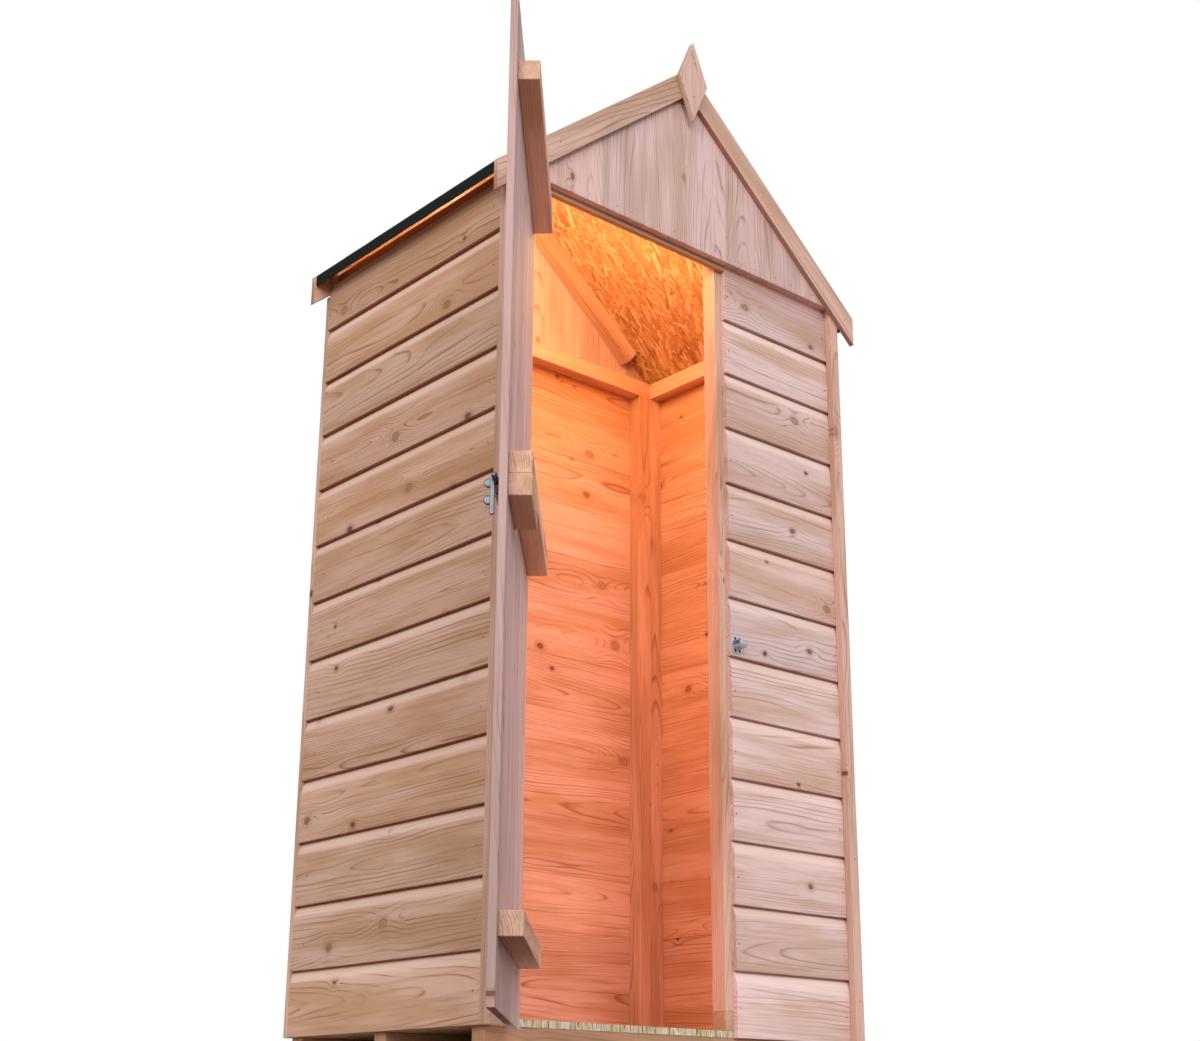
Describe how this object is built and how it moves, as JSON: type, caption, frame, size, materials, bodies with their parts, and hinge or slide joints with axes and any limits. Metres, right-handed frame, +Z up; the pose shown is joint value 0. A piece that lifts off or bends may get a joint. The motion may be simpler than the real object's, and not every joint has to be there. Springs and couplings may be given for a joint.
{
  "type": "garden tool shed",
  "caption": "Small apex timber tool shed with shiplap walls, felted roof, bargeboards, timber base and an open ledged door on strap hinges with a sliding bolt.",
  "frame": {"origin": "ground level under the middle of the base, halfway between the side walls and between the front and back ends of the floor", "axes": "+Z up, -Y out of the doorway, +X to the right seen from the front"},
  "size_m": [1.263, 1.0571, 2.035],
  "materials": {
    "wall_boards": "sawn and planed softwood, dip treated, matte",
    "gable_boards": "planed softwood, dip treated, matte",
    "trim": "planed softwood, matte",
    "framing": "sawn softwood, matte",
    "base_timber": "sawn softwood, matte",
    "door_boards": "planed softwood, dip treated, matte",
    "sheet_board": "strand board, matte",
    "felt": "mineral roofing felt, matte",
    "zinc_steel": "zinc plated, satin"
  },
  "bodies": {
    "shed": {"wall_boards_left": "wall_boards", "wall_boards_right": "wall_boards", "wall_boards_back": "wall_boards", "wall_boards_front": "wall_boards", "header_strip": "wall_boards", "gable_boards_front": "gable_boards", "gable_boards_back": "gable_boards", "corner_trim_front_left": "trim", "corner_trim_front_right": "trim", "corner_trim_back_left": "trim", "corner_trim_back_right": "trim", "bargeboard_front_left": "trim", "bargeboard_front_right": "trim", "bargeboard_back_left": "trim", "bargeboard_back_right": "trim", "finial_front": "trim", "finial_back": "trim", "bottom_rail_left": "framing", "bottom_rail_right": "framing", "bottom_rail_back": "framing", "bottom_rail_front": "framing", "top_rail_left": "framing", "top_rail_right": "framing", "top_rail_back": "framing", "gable_rail_front": "framing", "post_front_left": "framing", "post_front_right": "framing", "post_back_left": "framing", "post_back_right": "framing", "jamb_post": "framing", "gable_batten_left": "framing", "gable_batten_right": "framing", "bearer_front": "base_timber", "bearer_middle": "base_timber", "bearer_back": "base_timber", "floor_sheet": "sheet_board", "roof_board_left": "sheet_board", "roof_board_right": "sheet_board", "roof_felt": "felt", "hinge_leaf_bottom": "zinc_steel", "hinge_leaf_top": "zinc_steel", "bolt_keep": "zinc_steel"},
    "door": {"door_boards": "door_boards", "door_ledge_bottom": "framing", "door_ledge_middle": "framing", "door_bolt_block": "framing", "door_ledge_top": "framing", "hinge_strap_bottom": "zinc_steel", "hinge_strap_top": "zinc_steel", "bolt_plate": "zinc_steel"},
    "bolt": {"bolt_rod": "zinc_steel"}
  },
  "joints": [
    {"name": "door_hinge", "type": "hinge", "parent": "shed", "child": "door", "pos_m": [-0.4234, -0.3182, 0.79], "axis": [0, 0, 1], "range_deg": [-33, 132]},
    {"name": "bolt_slide", "type": "slide", "parent": "door", "child": "bolt", "axis": [-0.6691, -0.7431, 0], "range_m": [0, 0.045]}
  ]
}
